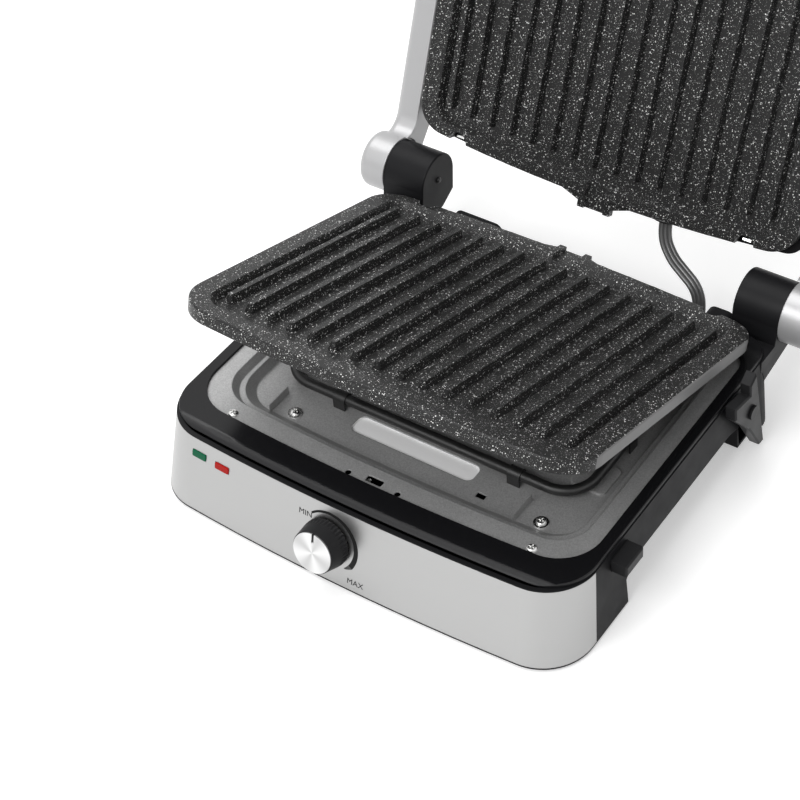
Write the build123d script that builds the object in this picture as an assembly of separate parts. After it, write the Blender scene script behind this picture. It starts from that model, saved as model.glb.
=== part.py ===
from build123d import *
import os
from math import asin, cos, degrees, radians, sin, sqrt, tan

# Panini press with lift-out ribbed plates, in millimetres.
# X runs to the right, Y to the back and Z up, and the origin lies on the ground under the cooking well.
# The lid stands open and the lower plate is lifted at its front, as the press is left for cleaning.
os.makedirs("parts", exist_ok=True)

# Body outline: the front is bowed and leans back, the sides lean in
body_half_width = 154.2
body_front = -140.0
body_rear = 122.0
body_top = 57.2
body_bottom = 2.0
front_lean = 14.0
side_lean = 4.6
bow_radius = 1803.0
front_corner = 35.0
rear_corner = 18.0
housing_wall = 3.2

# Arched sides between the legs, seen from the right
front_leg_back = body_front + 68.0
arch_height = 30.0
arch_shoulder = 9.0
rear_leg_shoulder = body_rear - 62.0
rear_leg_knee = (body_rear - 46.0, arch_height - 4.0)
rear_leg_front = body_rear - 14.0

# Rounded blocks on the rear wall
rear_block_spans = ((-100.0, -61.0), (101.0, 121.0))
rear_block_depth = 11.0
rear_block_bottom = 42.0
rear_block_rise = 4.8
rear_block_round = 6.0

# Bottom pan and feet
cover_floor = 4.0
cover_sheet = 2.0
cover_gap = 0.3
foot_radius = 7.0
foot_front = (body_half_width - 26.2, body_front + 28.0)
foot_rear = (body_half_width - 22.2, body_rear - 11.0)
post_radius = 4.5

# Stainless band
band_bottom = 3.0
band_top = body_top - 0.7
band_sheet = 0.8
band_end_top = body_front + 37.0
band_end_bottom = body_front + 30.0
band_seat = 0.1
band_standoff = 0.5

# Rim round the cooking well
bezel_top = body_top + 2.8
bezel_side_inset = 0.7
bezel_front_inset = 4.8
bezel_rear_inset = 0.5
shoulder_width = 6.5
shoulder_drop = 2.3
well_half_width = body_half_width - 8.4
well_front = body_front + 24.9
well_rear = body_rear - 18.0
well_corner = 30.0
well_rear_corner = 16.0

# Pressed dish
dish_sheet = 0.8
flange_top = bezel_top - 2.0
flange_lap = 1.4
flange_front_lap = 4.0
flange_rear = body_rear - 5.0
flange_seat = 0.1
dish_half_width = well_half_width - 11.8
dish_front = well_front + 15.1
dish_rear = well_rear - 14.0
dish_corner = 24.0
dish_ledge = flange_top - 5.5
dish_ledge_width = 3.0
dish_floor = flange_top - 13.0
dish_floor_inset = 8.0
dish_floor_front_inset = 14.0
flange_screw_x = well_half_width - 33.4
flange_screw_behind_edge = 4.3
flange_screw_rear = well_rear - 7.0
post_screw_x = (-dish_half_width + 47.0, dish_half_width - 34.0)
post_screw_y = dish_front + 23.0
tab_offset = -15.5
tab_height = 6.0
tab_span = (post_screw_y - 7.0, post_screw_y + 13.0)
trough_span = (-49.0, 44.0)
trough_rows = (dish_front + 29.0, dish_front + 44.0)
trough_depth = 2.0
trough_corner = 5.0
pad_size = (25.0, 25.0)
pad_centre = (dish_half_width - 25.0, dish_front + 73.0)
pad_rise = 1.5
slit_span = (53.0, 59.5)
slit_rows = (dish_front + 21.0, dish_front + 25.0)

# Tubular heater
heater_radius = 3.5
heater_top = dish_floor + 10.5
heater_height = heater_top - heater_radius
heater_half_width = dish_half_width - 21.0
heater_front = dish_front + 45.0
heater_rear = dish_rear - 24.0
heater_bend = 22.0
heater_terminal_x = 45.0
heater_terminal_drop = 15.0
heater_hole_gap = 1.0
clip_sheet = 0.9
clip_width = 9.0
clip_gap = 0.05

# Cooking plates
plate_half_width = body_half_width - 7.2
plate_front = body_front + 10.0
plate_rear = body_rear - 4.0
plate_rear_bow = 1250.0
plate_front_corner = 30.0
plate_rear_corner = 22.0
plate_bottom = bezel_top + 0.5
plate_rim = plate_bottom + 9.0
plate_floor = plate_bottom + 2.7
plate_rim_width = 14.0
plate_front_rim = 12.0
plate_rear_rim = 9.0
plate_wall_slope = 3.0
plate_wall = 2.7
plate_underpad = plate_bottom - 3.5
plate_underpad_width = 16.0
plate_solid_rear = 30.0
plate_edge_round = 1.5
rib_count = 16
rib_pitch = 2 * (plate_half_width - 23.25) / (rib_count - 1)
rib_width = 7.0
rib_taper = 16.0
rib_below_rim = 0.5
rib_rear = plate_rear - 18.6
rib_front = plate_front + 28.7
spout_half_width = 12.5
spout_channel = 7.5
spout_length = 9.0
spout_lip_half_width = 30.0
spout_under = plate_bottom + 2.0
spout_floor = plate_bottom + 4.7
notch_x = plate_half_width - 35.0
notch_radius = 7.0
plate_gap = 1.5
plate_tilt = 17.36
lift_axis_behind = 8.0
lift_axis_below = 5.5

# Sprung tabs that hold the plates' rear edges
plate_clip_width = 6.0
plate_clip_sheet = 1.2
plate_clip_inside = 3.2
plate_clip_nose = 0.3
plate_clip_top = plate_rim - 3.5
plate_clip_foot = 6.0
plate_clip_slot_gap = 0.5

# Plate hook, locating pins and latch bars
hook_half_width = 3.0
hook_depth = 3.0
hook_reach = 7.5
slot_half_width = 6.0
slot_centre = well_front + 5.4
slot_height = 4.9
locating_x = 18.5
locating_y = well_front + 3.3
locating_radius = 1.5
locating_gap = 0.5
latch_sheet = 1.5
latch_below_flange = 2.7
latch_row = well_front - 5.4
latch_width = 7.0
latch_tip_gap = 0.3
latch_tip_width = 5.7

# Release button on the right side
button_length = 20.0
button_height = 8.5
button_centre = (body_front + 63.0, body_top - 10.0)
button_out = body_half_width + 11.8
button_flange = 3.0
button_flange_sheet = 2.5
button_flange_gap = 1.2
button_slot_gap = 0.4
button_edge = 1.2
lid_button_size = (16.0, 7.0)
lid_button_out = 5.0
lid_button_travel = 4.0

# Thermostat and knob on the leaning front
knob_x = -12.1
knob_down = 26.2
knob_face_radius = 14.8
knob_skirt_radius = 16.8
knob_height = 15.5
knob_gap = 1.2
knob_flutes = 40
knob_flute_depth = 0.7
cap_sheet = 0.8
pointer_size = (1.5, 6.5, 0.4)
pointer_reach = 14.0
shaft_radius = 3.0
shaft_fit = 0.05
thermostat_size = (34.0, 30.0, 22.0)
bush_radius = 5.0

# Signal lamps
green_lamp = (-116.9, body_top - 11.6)
red_lamp = (-97.8, body_top - 12.2)
lamp_size = (11.4, 4.9)
lamp_proud = 0.9
lamp_seat = 0.1
lamp_holder_depth = 14.0
lamp_holder_rim = 1.6

# Hinge
hinge_y = body_rear + 22.2
hinge_z = bezel_top + 10.8
knuckle_radius = 19.7
knuckle_inner = body_half_width - 32.4
knuckle_outer = body_half_width + 0.8
hinge_pin_radius = 4.0
hinge_pin_inner = knuckle_inner + 6.7
hinge_fit = 0.05
tower_bottom = 36.0
tower_slant = (hinge_y + 4.5, hinge_z - 26.5)
tower_corner = (hinge_y + 18.1, hinge_z - 19.1)
tower_edge = 1.2
knuckle_screw_radius = 2.2
lid_open = 112.31

# Lid shell, in the closed position
lid_half_width = plate_half_width + 2.4
lid_front = plate_front - 3.0
lid_rear = plate_rear + 1.5
lid_front_corner = 31.0
lid_rear_corner = 14.0
lid_wall = 2.0
lid_frame_top = plate_rim + 27.5
lid_cover_rise = 19.0
lid_cover_draw = 8.0
lid_cover_edge = 3.5
lid_cover_sheet = 0.8
lid_seam = 0.2
pivot_y = (lid_front + lid_rear) / 2 - 3.0
pivot_z = plate_rim + 20.5
pivot_radius = 4.0
pivot_fit = 0.08
pivot_depth = 12.0
pivot_head_radius = 6.5
pivot_head = 1.8

# Lid arms and handle, in the closed position
arm_inner = lid_half_width + 3.6
arm_outer = arm_inner + 19.5
arm_low = plate_rim + 12.0
arm_top = arm_low + 25.5
arm_round = 6.0
arm_wall = 3.5
neck_length = 46.0
neck_round = 14.0
neck_top_round = 20.0
cap_radius = knuckle_radius + 0.8
cap_inner = knuckle_outer + 0.4
cap_outer = cap_inner + 21.6
cap_round = 5.0
cap_clearance = 0.6
handle_y = lid_front - 37.0
handle_z = plate_rim + 23.5
handle_boss = 15.0
handle_boss_round = 4.0
handle_radius = 9.0
handle_sheet = 1.2
handle_depth = 6.0
grip_radius = 13.5
grip_half_length = arm_inner - 35.0

# Height lever on the right side
lever_inner = body_half_width + 4.7
lever_outer = lever_inner + 7.5
lever_pivot = (body_rear - 52.0, body_top - 9.2)
lever_pin_radius = 3.0
lever_fit = 0.05
lever_boss_radius = 8.0
lever_edge = 1.0
lever_step_front = body_rear - 75.0
lever_step = (body_rear - 55.0, body_top + 7.2)
lever_step_fall = 4.4
lever_step_rise = 8.6
lever_peak = (body_rear - 48.0, body_top + 20.8)
lever_tip = (body_rear - 34.0, 5.0)
lever_belly = (lever_pivot[0] - 2.0, lever_pivot[1] - 14.0)

# Drip cup that slides into the rear
drip_half_width = 40.0
drip_front = body_rear - 42.0
drip_rear = body_rear + 28.0
drip_height = 24.0
drip_corner = 5.0
drip_sheet = 1.5
drip_gap = 0.4

# Lid lead: three cores side by side, with the points of its route
lead_core = 1.8
lead_core_pitch = 3.1
lead_route = [
    (57.5, 160.5, 63.2),
    (68.0, 158.0, 56.8),
    (78.7, 155.0, 51.2),
    (84.8, 151.0, 42.7),
    (87.3, 144.0, 32.5),
]
lead_lid_x = 47.0
lead_base_place = (88.0, 27.0)
lead_straight = 13.0
lead_fit = 0.2
gland_radius = 6.5
gland_flange = 9.5
gland_flange_sheet = 2.0
gland_depth = 6.0
gland_fit = 0.1

# Small fixings
screw_radius = 3.4
screw_head = 1.8
screw_shank = 1.6
washer_radius = 5.0
washer_sheet = 0.8
terminal_size = (46.0, 18.0, 8.4)
terminal_place = (-93.0, 20.0)

# Heights and planes worked out from the sizes above
parting = plate_rim + plate_gap / 2
hinge_axis = Axis((0, hinge_y, hinge_z), (1, 0, 0))
plate_axis = Axis((0, plate_rear + lift_axis_behind, plate_bottom - lift_axis_below), (1, 0, 0))
mirror_plane = Plane.XY.offset(parting)
cover_top = cover_floor + cover_sheet
flange_bottom = flange_top - dish_sheet
latch_top = flange_bottom - latch_below_flange + latch_sheet
latch_bottom = flange_bottom - latch_below_flange
lead_radius = lead_core_pitch + lead_core


def rear_line(rear, x):
    """Where a bowed rear edge lies at a distance from the middle."""
    return rear - plate_rear_bow + sqrt(plate_rear_bow**2 - x**2)


def front_line(front, x):
    return front + bow_radius - sqrt(bow_radius**2 - x**2)


def outline(half_width, front, rear, front_radius, rear_radius, bowed_rear=False):
    """Plan with a bowed front, straight sides and a rear that is straight or bowed."""
    front_end = front_line(front, half_width)
    rear_end = rear_line(rear, half_width) if bowed_rear else rear
    bow = ThreePointArc((-half_width, front_end), (0, front), (half_width, front_end))
    right = Line((half_width, front_end), (half_width, rear_end))
    if bowed_rear:
        back = ThreePointArc((half_width, rear_end), (0, rear), (-half_width, rear_end))
    else:
        back = Line((half_width, rear_end), (-half_width, rear_end))
    left = Line((-half_width, rear_end), (-half_width, front_end))
    plan = make_face([bow, right, back, left])
    plan = fillet(plan.vertices().group_by(Axis.Y)[0], front_radius)
    return fillet(plan.vertices().group_by(Axis.Y)[-1], rear_radius)


lid_lead_wall = rear_line(lid_rear, lead_lid_x - gland_flange)
plate_clip_y = rear_line(plate_rear, notch_x) - plate_clip_inside
flange_screw_front = front_line(well_front + flange_screw_behind_edge, flange_screw_x)


def body_plan(height, inset=0.0):
    """Outline of the leaning body at a height, drawn in by an inset."""
    drop = body_top - height
    return Pos(0, 0, height) * outline(
        body_half_width + drop * tan(radians(side_lean)) - inset,
        body_front - drop * tan(radians(front_lean)) + inset,
        body_rear - inset,
        front_corner - inset,
        rear_corner - inset,
    )


def body_block(bottom, top, inset=0.0):
    return loft([body_plan(bottom, inset), body_plan(top, inset)], ruled=True)


def prism(sketch, bottom, top):
    return extrude(Pos(0, 0, bottom) * sketch, amount=top - bottom)


def slab(x_span, y_span, z_span):
    """Plain block between two corners."""
    size = [span[1] - span[0] for span in (x_span, y_span, z_span)]
    return Pos(x_span[0], y_span[0], z_span[0]) * Box(*size, align=(Align.MIN, Align.MIN, Align.MIN))


def rod(radius, start, end):
    """Round bar along X at a place in the side view."""
    x_start, y, z = start
    length = end - x_start
    return Pos(x_start, y, z) * Rot(0, 90, 0) * Cylinder(
        radius, length, align=(Align.CENTER, Align.CENTER, Align.MIN)
    )


def side_profile(points, x_start, x_end):
    """Side view outline, given as Y and Z, carried across in X."""
    face = make_face(Polyline(*points, close=True))
    return Pos(x_start, 0, 0) * extrude(Plane.YZ * face, amount=x_end - x_start)


def front_plane(x, height):
    """Plane on the leaning, bowed front, facing outwards."""
    drop = body_top - height
    swing = asin(x / bow_radius)
    y = body_front - drop * tan(radians(front_lean)) + bow_radius * (1 - cos(swing))
    lean = radians(front_lean)
    normal = (sin(swing) * cos(lean), -cos(swing) * cos(lean), sin(lean))
    return Plane(origin=(x, y, height), x_dir=(cos(swing), sin(swing), 0), z_dir=normal)


knob_plane = front_plane(knob_x, band_top - knob_down * cos(radians(front_lean)))
lamp_planes = [front_plane(*green_lamp), front_plane(*red_lamp)]


def on_front(plane, shape, outwards):
    return plane.offset(outwards).location * shape


def screw(x, y, seat, length):
    """Pan-head screw standing on a seat, with its shank below."""
    head = Pos(x, y, seat) * Cylinder(screw_radius, screw_head, align=(Align.CENTER, Align.CENTER, Align.MIN))
    head = chamfer(head.edges().group_by(Axis.Z)[-1], screw_head / 2)
    shank = Pos(x, y, seat) * Cylinder(screw_shank, length, align=(Align.CENTER, Align.CENTER, Align.MAX))
    return head + shank


def arch_points(bottom):
    """Underside of the arched sides, from the front leg to the rear leg."""
    return [
        (front_leg_back, bottom),
        (front_leg_back, arch_height - arch_shoulder),
        (front_leg_back + arch_shoulder, arch_height),
        (rear_leg_shoulder, arch_height),
        rear_leg_knee,
        (rear_leg_front, bottom),
    ]


# Black moulded body
def make_base_housing():
    shell = body_block(body_bottom, body_top) - body_block(body_bottom - 1, body_top + 1, housing_wall)
    band_front = side_profile(
        [
            (body_front * 2, band_bottom - band_seat),
            (band_end_bottom + band_seat, band_bottom - band_seat),
            (band_end_top + band_seat, band_top + band_seat),
            (body_front * 2, band_top + band_seat),
        ],
        -body_half_width * 2,
        body_half_width * 2,
    )
    shell -= band_front - body_block(body_bottom - 1, body_top + 1, band_sheet + band_standoff)
    shell -= side_profile(arch_points(-1), -body_half_width * 2, body_half_width * 2)
    button_y, button_z = button_centre
    reach = button_length / 2 + button_slot_gap
    rise = button_height / 2 + button_slot_gap
    shell -= slab(
        (body_half_width - 2 * housing_wall, button_out),
        (button_y - reach, button_y + reach),
        (button_z - rise, button_z + rise),
    )
    shell -= slab(
        (-drip_half_width - drip_gap, drip_half_width + drip_gap),
        (body_rear - 2 * housing_wall, body_rear + 1),
        (cover_top, cover_top + drip_height + 2 * drip_gap),
    )
    for span in rear_block_spans:
        block = slab(
            span,
            (body_rear - bezel_rear_inset + band_seat, body_rear + rear_block_depth),
            (rear_block_bottom, body_top + rear_block_rise),
        )
        shell += fillet(block.edges().filter_by(Axis.Y).group_by(Axis.Z)[-1], rear_block_round)
    lever_y, lever_z = lever_pivot
    wall_x = body_half_width + (body_top - lever_z) * tan(radians(side_lean))
    boss = rod(lever_boss_radius, (wall_x - housing_wall, lever_y, lever_z), lever_inner - cover_gap)
    shell += boss
    shell -= rod(lever_pin_radius, (wall_x - 3 * housing_wall, lever_y, lever_z), lever_outer)
    shell -= on_front(
        knob_plane, Cylinder(bush_radius + band_seat, 4 * housing_wall), 0
    )
    for plane in lamp_planes:
        shell -= on_front(plane, Box(lamp_size[0] + 2 * lamp_seat, lamp_size[1] + 2 * lamp_seat, 20), 0)
    lead_x, lead_z = lead_base_place
    shell -= Pos(lead_x, body_rear, lead_z) * Rot(90, 0, 0) * Cylinder(
        gland_radius + gland_fit, 4 * housing_wall
    )
    return shell


# Bottom pan, stepped over the arch and carrying the posts of the dish
def make_base_cover():
    inner_front = front_leg_back - 2 * cover_sheet
    inner_rear = drip_front - 4
    under = make_face(
        Polyline(
            (body_front * 2, -arch_height),
            (body_front * 2, cover_floor),
            (inner_front, cover_floor),
            (inner_front, arch_height + cover_gap),
            (inner_rear, arch_height + cover_gap),
            (inner_rear, cover_floor),
            (body_rear * 2, cover_floor),
            (body_rear * 2, -arch_height),
            close=True,
        )
    )
    sheet = offset(under, amount=cover_sheet, kind=Kind.INTERSECTION) - under
    pan = extrude(Plane.YZ * sheet, amount=body_half_width * 2, both=True)
    pan &= body_block(body_bottom, arch_height + 2 * cover_sheet, housing_wall + cover_gap)
    for x in (-flange_screw_x, flange_screw_x):
        for y in (flange_screw_front, flange_screw_rear):
            post = Pos(x, y, cover_top) * Cylinder(
                post_radius, flange_bottom - cover_top, align=(Align.CENTER, Align.CENTER, Align.MIN)
            )
            pan += post
            pan -= Pos(x, y, flange_bottom) * Cylinder(screw_shank, 24)
    return pan


def make_rubber_feet():
    feet = []
    for x, y in (foot_front, foot_rear):
        for side in (-1, 1):
            foot = Pos(side * x, y, 0) * Cylinder(
                foot_radius, cover_floor, align=(Align.CENTER, Align.CENTER, Align.MIN)
            )
            feet.append(chamfer(foot.edges().group_by(Axis.Z)[0], 1.0))
    return feet


# Stainless band with the holes of the knob and the lamps
def make_front_fascia():
    band = body_block(band_bottom, band_top) - body_block(band_bottom - 1, band_top + 1, band_sheet)
    band &= side_profile(
        [
            (body_front * 2, band_bottom),
            (band_end_bottom, band_bottom),
            (band_end_top, band_top),
            (body_front * 2, band_top),
        ],
        -body_half_width * 2,
        body_half_width * 2,
    )
    band -= on_front(knob_plane, Cylinder(bush_radius + band_seat, 4 * housing_wall), 0)
    for plane in lamp_planes:
        band -= on_front(plane, Box(lamp_size[0] + 2 * lamp_seat, lamp_size[1] + 2 * lamp_seat, 20), 0)
    return band


def well_plan():
    return outline(well_half_width, well_front, well_rear, well_corner, well_rear_corner)


def flange_plan(grow=0.0):
    return outline(
        well_half_width + flange_lap + grow,
        well_front - flange_front_lap - grow,
        flange_rear + grow,
        well_corner + flange_lap,
        well_rear_corner,
        bowed_rear=True,
    )


def plate_clip_slots(bottom, top):
    """Slots through which the sprung tabs reach the plate."""
    cuts = Part()
    for side in (-1, 1):
        cuts += slab(
            (
                side * notch_x - plate_clip_width / 2 - plate_clip_slot_gap,
                side * notch_x + plate_clip_width / 2 + plate_clip_slot_gap,
            ),
            (
                plate_clip_y - plate_clip_sheet / 2 - plate_clip_slot_gap,
                plate_clip_y + plate_clip_sheet / 2 + plate_clip_slot_gap,
            ),
            (bottom, top),
        )
    return cuts


# Gloss black rim with a rolled shoulder along its front
def make_top_bezel():
    front = body_front + bezel_front_inset
    ring_plan = outline(
        body_half_width - bezel_side_inset,
        front,
        body_rear - bezel_rear_inset,
        front_corner - bezel_front_inset,
        rear_corner - bezel_rear_inset,
    )
    ring = prism(ring_plan, body_top, bezel_top)
    ring = fillet(ring.edges().group_by(Axis.Z)[-1], 0.8)
    shoulder_back = front + shoulder_width
    profile = make_face(
        [
            ThreePointArc(
                (shoulder_back, bezel_top),
                (front + shoulder_width * 0.42, bezel_top - shoulder_drop * 0.3),
                (front - 0.2, bezel_top - shoulder_drop),
            ),
            *Polyline(
                (front - 0.2, bezel_top - shoulder_drop),
                (front - 2 * shoulder_width, bezel_top - shoulder_drop),
                (front - 2 * shoulder_width, bezel_top + 2),
                (shoulder_back, bezel_top + 2),
                (shoulder_back, bezel_top),
            ).edges(),
        ]
    )
    bow_axis = Axis((0, body_front + bow_radius, 0), (0, 0, 1))
    sweep_angle = 2 * degrees(asin(body_half_width / bow_radius))
    roll = revolve(Plane.YZ * profile, axis=bow_axis, revolution_arc=sweep_angle)
    ring -= roll.rotate(bow_axis, -sweep_angle / 2)
    ring -= prism(well_plan(), body_top - 1, bezel_top + 1)
    ring -= prism(flange_plan(4 * flange_seat), body_top - 1, flange_top + flange_seat)
    ring -= plate_clip_slots(body_top - 1, bezel_top + 1)
    return ring


# Pressed dish: flange, ledge, floor, slots, tabs and embossed panels
def dish_block(grow):
    """Hollow of the dish, or its outside when grown by the sheet."""
    upper = outline(
        dish_half_width + grow, dish_front - grow, dish_rear + grow, dish_corner + grow, dish_corner + grow
    )
    share = dish_ledge_width
    ledge = outline(
        dish_half_width - share + grow,
        dish_front + share - grow,
        dish_rear - share + grow,
        dish_corner + grow,
        dish_corner + grow,
    )
    step = outline(
        dish_half_width - 2 * share + grow,
        dish_front + 2 * share - grow,
        dish_rear - 2 * share + grow,
        dish_corner + grow,
        dish_corner + grow,
    )
    floor = outline(
        dish_half_width - dish_floor_inset + grow,
        dish_front + dish_floor_front_inset - grow,
        dish_rear - dish_floor_inset + grow,
        dish_corner + grow,
        dish_corner + grow,
    )
    top = loft([Pos(0, 0, dish_ledge - grow) * ledge, Pos(0, 0, flange_top) * upper], ruled=True)
    bottom = loft([Pos(0, 0, dish_floor - grow) * floor, Pos(0, 0, dish_ledge) * step], ruled=True)
    return top + bottom


def make_tray():
    tray = prism(flange_plan(), flange_bottom, flange_top) + dish_block(dish_sheet)
    tray -= dish_block(0.0)
    trough_x = trough_span[1] - trough_span[0]
    trough_y = trough_rows[1] - trough_rows[0]
    trough = RectangleRounded(trough_x, trough_y, trough_corner)
    trough_place = Pos((trough_span[0] + trough_span[1]) / 2, (trough_rows[0] + trough_rows[1]) / 2, 0)
    tray += trough_place * prism(
        offset(trough, dish_sheet), dish_floor - trough_depth - dish_sheet, dish_floor - dish_sheet
    )
    tray -= trough_place * prism(trough, dish_floor - trough_depth, dish_floor + 1)
    pad = RectangleRounded(*pad_size, 4.0)
    tray += Pos(*pad_centre, 0) * prism(pad, dish_floor - dish_sheet / 2, dish_floor + pad_rise)
    for x in post_screw_x:
        tray += slab(
            (x + tab_offset, x + tab_offset + dish_sheet),
            tab_span,
            (dish_floor - dish_sheet / 2, dish_floor + tab_height),
        )
        tray -= Pos(x, post_screw_y, dish_floor) * Cylinder(screw_shank + 0.2, 8)
    for side in (-1, 1):
        for y in (flange_screw_front, flange_screw_rear):
            tray -= Pos(side * flange_screw_x, y, flange_top) * Cylinder(screw_shank + 0.2, 8)
        tray -= Pos(side * locating_x, locating_y, flange_top) * Cylinder(locating_radius + locating_gap, 8)
        tray -= Pos(side * heater_terminal_x, heater_rear, dish_floor) * Cylinder(
            heater_radius + heater_hole_gap, 16
        )
    tray -= slab(slit_span, slit_rows, (dish_floor - 2 * dish_sheet, dish_floor + 1))
    slot = prism(RectangleRounded(2 * slot_half_width, slot_height, 1.0), flange_bottom - 1, flange_top + 1)
    tray -= Pos(0, slot_centre, 0) * slot
    return tray - plate_clip_slots(flange_bottom - 1, flange_top + 1)


# Tubular heater, a loop with its two ends turned down through the floor
def make_heater():
    end_z = heater_height - heater_terminal_drop
    path = FilletPolyline(
        (-heater_terminal_x, heater_rear, end_z),
        (-heater_terminal_x, heater_rear, heater_height),
        (-heater_half_width, heater_rear, heater_height),
        (-heater_half_width, heater_front, heater_height),
        (heater_half_width, heater_front, heater_height),
        (heater_half_width, heater_rear, heater_height),
        (heater_terminal_x, heater_rear, heater_height),
        (heater_terminal_x, heater_rear, end_z),
        radius=[2 * heater_radius] + [heater_bend] * 4 + [2 * heater_radius],
    )
    section = Plane(origin=path @ 0, z_dir=path % 0) * Circle(heater_radius)
    return sweep(section, path=path)


def make_heater_clips():
    """Saddle straps over the heater's long runs, standing on the floor."""
    inner = heater_radius + clip_gap
    outer = inner + clip_sheet
    strap = make_face(
        [
            ThreePointArc((-outer, 0), (0, outer), (outer, 0)),
            Line((outer, 0), (outer, dish_floor - heater_height)),
            Line((outer, dish_floor - heater_height), (inner, dish_floor - heater_height)),
            Line((inner, dish_floor - heater_height), (inner, 0)),
            ThreePointArc((inner, 0), (0, inner), (-inner, 0)),
            Line((-inner, 0), (-inner, dish_floor - heater_height)),
            Line((-inner, dish_floor - heater_height), (-outer, dish_floor - heater_height)),
            Line((-outer, dish_floor - heater_height), (-outer, 0)),
        ]
    )
    along_x = extrude(Plane.YZ * strap, amount=clip_width / 2, both=True)
    along_y = extrude(Plane.XZ * strap, amount=clip_width / 2, both=True)
    middle = (heater_front + heater_rear) / 2
    return [
        Pos(-heater_half_width / 2 - 8, heater_front, heater_height) * along_x,
        Pos(heater_half_width / 2 + 12, heater_front, heater_height) * along_x,
        Pos(-heater_half_width, middle, heater_height) * along_y,
        Pos(heater_half_width, middle, heater_height) * along_y,
    ]


def make_tray_screws():
    return [
        screw(side * flange_screw_x, y, flange_top, 10)
        for side in (-1, 1)
        for y in (flange_screw_front, flange_screw_rear)
    ]


def make_post_screws():
    """Screws with a washer beside the lanced tabs."""
    screws = []
    for x in post_screw_x:
        washer = Pos(x, post_screw_y, dish_floor) * Cylinder(
            washer_radius, washer_sheet, align=(Align.CENTER, Align.CENTER, Align.MIN)
        )
        screws.append(washer + screw(x, post_screw_y, dish_floor + washer_sheet, 6))
    return screws


def make_plate_clips():
    """Bent spring tabs that stand up through the rear of the flange, with a foot under it."""
    clips = []
    back = plate_clip_y + plate_clip_sheet / 2
    front = plate_clip_y - plate_clip_sheet / 2
    for side in (-1, 1):
        span = (side * notch_x - plate_clip_width / 2, side * notch_x + plate_clip_width / 2)
        points = [
            (back, flange_bottom - plate_clip_sheet),
            (back, plate_clip_top),
            (front - plate_clip_nose, plate_clip_top - 0.6),
            (front, plate_clip_top - 2.4),
            (front, flange_bottom),
            (front - plate_clip_foot, flange_bottom),
            (front - plate_clip_foot, flange_bottom - plate_clip_sheet),
        ]
        clips.append(side_profile(points, *span))
    return clips


# Ribbed cooking plate, drawn as the lower one in its seat
def recess_plan(inset):
    """Cooking field, parallel to the edges of the plate."""
    return outline(
        plate_half_width - plate_rim_width - inset,
        plate_front + plate_front_rim + inset,
        plate_rear - plate_rear_rim - inset,
        plate_front_corner - plate_front_rim - inset,
        plate_rear_corner - plate_rear_rim - inset,
        bowed_rear=True,
    )


def plate_plan(inset=0.0):
    return outline(
        plate_half_width - inset,
        plate_front + inset,
        plate_rear - inset,
        plate_front_corner - inset,
        plate_rear_corner - inset,
        bowed_rear=True,
    )


def heater_plan(grow):
    """Area round the heater's loop, drawn wider or narrower than the loop."""
    return outline(
        heater_half_width + grow,
        heater_front - grow,
        heater_rear + grow,
        heater_bend + grow,
        heater_bend + grow,
    )


def make_plate():
    plate = prism(plate_plan(), plate_bottom, plate_rim)
    plate = fillet(plate.edges().group_by(Axis.Z)[-1], plate_edge_round)
    # Spout: a lip behind the rear edge with two ears and a channel between them
    lip = make_face(
        Polyline(
            (-spout_lip_half_width, plate_rear - plate_edge_round),
            (spout_lip_half_width, plate_rear - plate_edge_round),
            (spout_half_width, plate_rear + spout_length / 2),
            (spout_half_width, plate_rear + spout_length),
            (-spout_half_width, plate_rear + spout_length),
            (-spout_half_width, plate_rear + spout_length / 2),
            close=True,
        )
    )
    plate += prism(lip, spout_under, plate_rim - plate_edge_round)
    # Contact ring over the heater, and a hollow under the rim at the front and the sides
    contact = heater_plan(plate_underpad_width / 2) - heater_plan(-plate_underpad_width / 2)
    plate += prism(contact, plate_underpad, plate_bottom)
    hollow = prism(plate_plan(plate_wall) - recess_plan(-plate_wall), plate_bottom, plate_rim - plate_wall)
    plate -= hollow - slab(
        (-plate_half_width, plate_half_width),
        (plate_rear - plate_solid_rear, plate_rear),
        (plate_bottom, plate_rim),
    )
    # Cooking field with sloping walls, and the channel to the spout
    field = loft(
        [
            Pos(0, 0, plate_floor) * recess_plan(plate_wall_slope),
            Pos(0, 0, plate_rim) * recess_plan(0.0),
        ],
        ruled=True,
    )
    plate -= field
    plate -= slab(
        (-spout_channel, spout_channel),
        (plate_rear - 2 * plate_rear_rim, plate_rear + spout_length + 1),
        (spout_floor, plate_rim + 1),
    )
    for index in range(rib_count):
        x = (index - (rib_count - 1) / 2) * rib_pitch
        rear = rear_line(rib_rear, x)
        front = front_line(rib_front, x)
        rib = SlotOverall(rear - front, rib_width, rotation=90)
        rib = extrude(rib, amount=plate_rim - rib_below_rim - plate_floor, taper=rib_taper)
        plate += Pos(x, (rear + front) / 2, plate_floor) * rib
    for side in (-1, 1):
        notch_y = rear_line(plate_rear, notch_x)
        plate -= Pos(side * notch_x, notch_y, plate_bottom) * Cylinder(notch_radius, 4 * plate_rim)
        plate += Pos(side * locating_x, locating_y, plate_bottom) * Cylinder(
            locating_radius, hook_reach - 1, align=(Align.CENTER, Align.CENTER, Align.MAX)
        )
    plate += slab(
        (-hook_half_width, hook_half_width),
        (slot_centre - hook_depth / 2, slot_centre + hook_depth / 2),
        (plate_bottom - hook_reach, plate_bottom),
    )
    return plate


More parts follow.
